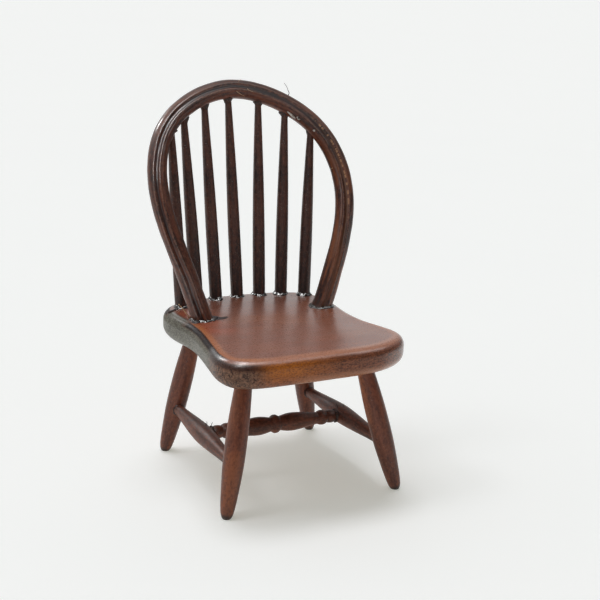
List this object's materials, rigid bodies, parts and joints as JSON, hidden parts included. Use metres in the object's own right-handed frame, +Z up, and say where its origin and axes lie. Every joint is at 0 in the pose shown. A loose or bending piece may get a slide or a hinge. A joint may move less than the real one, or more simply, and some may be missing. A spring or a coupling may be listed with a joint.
{
  "type": "dolls house windsor side chair",
  "caption": "Miniature wooden Windsor chair with a shaped seat, splayed turned legs joined by stretchers, and a grooved bent bow over tapered spindles; no rockers.",
  "frame": {"origin": "on the floor, under the centre of the whole chair's bounding box", "axes": "+X to the viewer's right when the chair is seen from the front, +Y from the front of the seat to the back, +Z up"},
  "size_m": [0.0472, 0.0514, 0.0797],
  "materials": {
    "seat_wood": "satin varnish over red-brown stain",
    "leg_wood": "satin varnish over dark red-brown stain",
    "stretcher_wood": "satin varnish over dark red-brown stain",
    "bow_wood": "satin varnish over dark brown stain",
    "spindle_wood": "satin varnish over almost black stain"
  },
  "bodies": {
    "root": {"seat": "seat_wood", "leg_front_left": "leg_wood", "leg_front_right": "leg_wood", "leg_rear_left": "leg_wood", "leg_rear_right": "leg_wood", "stretcher_left": "stretcher_wood", "stretcher_right": "stretcher_wood", "stretcher_middle": "stretcher_wood", "bow": "bow_wood", "spindle_1": "spindle_wood", "spindle_2": "spindle_wood", "spindle_3": "spindle_wood", "spindle_4": "spindle_wood", "spindle_5": "spindle_wood", "spindle_6": "spindle_wood", "spindle_7": "spindle_wood"}
  },
  "joints": []
}
